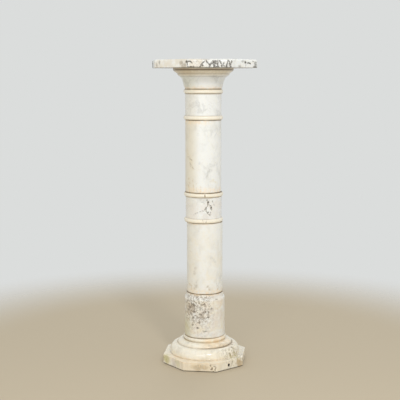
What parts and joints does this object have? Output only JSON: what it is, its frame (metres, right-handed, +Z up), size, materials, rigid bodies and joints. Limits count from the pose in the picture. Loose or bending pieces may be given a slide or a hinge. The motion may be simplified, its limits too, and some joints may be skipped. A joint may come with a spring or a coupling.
{
  "type": "marble pedestal column",
  "caption": "Free-standing marble pedestal: turned column with ringed collars on an octagonal moulded foot, carrying an octagonal top plate for a bust, urn or plant.",
  "frame": {"origin": "on the floor, straight below the centre of the top plate", "axes": "+Z up along the column, -Y towards the plinth face seen in front"},
  "size_m": [0.3402, 0.3402, 0.975],
  "materials": {
    "warm_marble": "worn polish, cream with tan dirt in the creases",
    "speckled_marble": "worn polish, cream with a brown-grey speckled network",
    "white_marble": "satin polish, off-white with faint grey veins",
    "veined_marble": "polished, cream with a dark grey-brown vein network"
  },
  "bodies": {
    "root": {"foot": "warm_marble", "lower_drum": "speckled_marble", "lower_shaft": "white_marble", "lower_collar": "white_marble", "upper_shaft": "white_marble", "upper_collar": "white_marble", "capital": "warm_marble", "top_plate": "veined_marble"}
  },
  "joints": []
}
